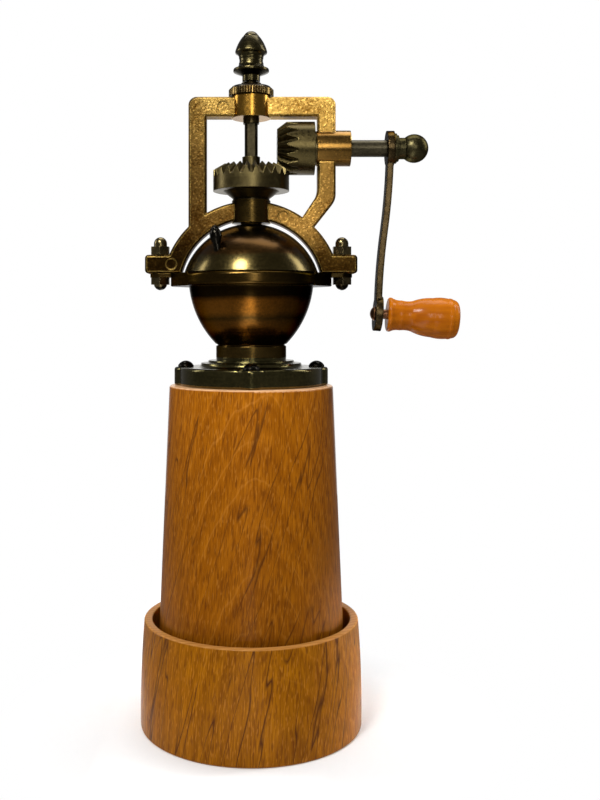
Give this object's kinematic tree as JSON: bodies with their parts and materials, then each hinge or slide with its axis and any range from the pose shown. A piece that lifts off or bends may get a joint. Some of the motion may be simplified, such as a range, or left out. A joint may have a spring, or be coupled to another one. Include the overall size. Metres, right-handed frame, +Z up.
{
  "type": "pepper mill",
  "caption": "Crank pepper mill: tapered wooden body in a catch cup, brass hopper with a turning dome hatch, open bevel gears in a cast frame, top grind adjustment",
  "frame": {"origin": "centre of the catch cup's flat foot", "axes": "+Z up along the spindle, +X towards the crank, +Y to the back"},
  "size_m": [0.1248, 0.0864, 0.2708],
  "materials": {
    "oak": "oiled, open grain",
    "handle_wood": "glossy varnish",
    "cast_brass": "as cast, grainy",
    "dark_brass": "antique, polished",
    "brass_hardware": "antique",
    "bush_bronze": "machined",
    "black_steel": "blackened",
    "burr_steel": "hardened",
    "copper_rivet": "worn"
  },
  "bodies": {
    "cup": {"catch_cup": "oak"},
    "mill": {"mill_body": "oak", "base_flange": "dark_brass", "flange_screws": "black_steel", "hopper_bowl": "dark_brass", "clamp_bolts": "brass_hardware", "acorn_nuts": "brass_hardware", "gear_frame": "cast_brass", "dome_cover": "dark_brass", "hatch_retainer": "dark_brass", "top_bush": "bush_bronze", "lower_bush": "bush_bronze", "crank_bush": "bush_bronze", "gear_washer": "bush_bronze", "stator_burr": "burr_steel", "shaft_guide": "dark_brass"},
    "crank": {"crank_shaft": "dark_brass", "pinion": "dark_brass", "crank_washer": "bush_bronze", "crank_arm": "dark_brass", "ball_nut": "dark_brass", "handle_pin": "copper_rivet"},
    "handle": {"handle_knob": "handle_wood"},
    "gear": {"drive_gear": "dark_brass"},
    "spindle": {"spindle": "dark_brass", "rotor_burr": "burr_steel", "burr_washer": "burr_steel", "burr_nut": "burr_steel", "finial": "dark_brass"},
    "adjuster": {"adjusting_nut": "dark_brass"},
    "hatch": {"hatch": "dark_brass", "hatch_knob": "brass_hardware"}
  },
  "joints": [
    {"name": "mill_lift", "type": "slide", "parent": "cup", "child": "mill", "axis": [0, 0, 1], "range_m": [0, 0.05]},
    {"name": "crank_turn", "type": "hinge", "parent": "mill", "child": "crank", "pos_m": [0, 0, 0.2247], "axis": [1, 0, 0], "continuous": true},
    {"name": "handle_spin", "type": "hinge", "parent": "crank", "child": "handle", "pos_m": [0.04983, 0, 0.15968], "axis": [0.9973, 0, -0.0732], "continuous": true},
    {"name": "gear_spin", "type": "hinge", "parent": "mill", "child": "gear", "pos_m": [0, 0, 0.21], "axis": [0, 0, 1], "continuous": true},
    {"name": "grind_turn", "type": "hinge", "parent": "gear", "child": "adjuster", "pos_m": [0, 0, 0.245], "axis": [0, 0, 1], "range_deg": [-180, 180]},
    {"name": "spindle_lift", "type": "slide", "parent": "gear", "child": "spindle", "axis": [0, 0, 1], "range_m": [-0.0004, 0.0004]},
    {"name": "hatch_swing", "type": "hinge", "parent": "mill", "child": "hatch", "pos_m": [0, 0, 0.19], "axis": [0, 0, 1], "range_deg": [0, 105]}
  ],
  "couplings": [
    {"joint": "gear_spin", "follows": "crank_turn", "ratio": 0.66667},
    {"joint": "grind_turn", "follows": "spindle_lift", "rad_per_m": -7854}
  ]
}
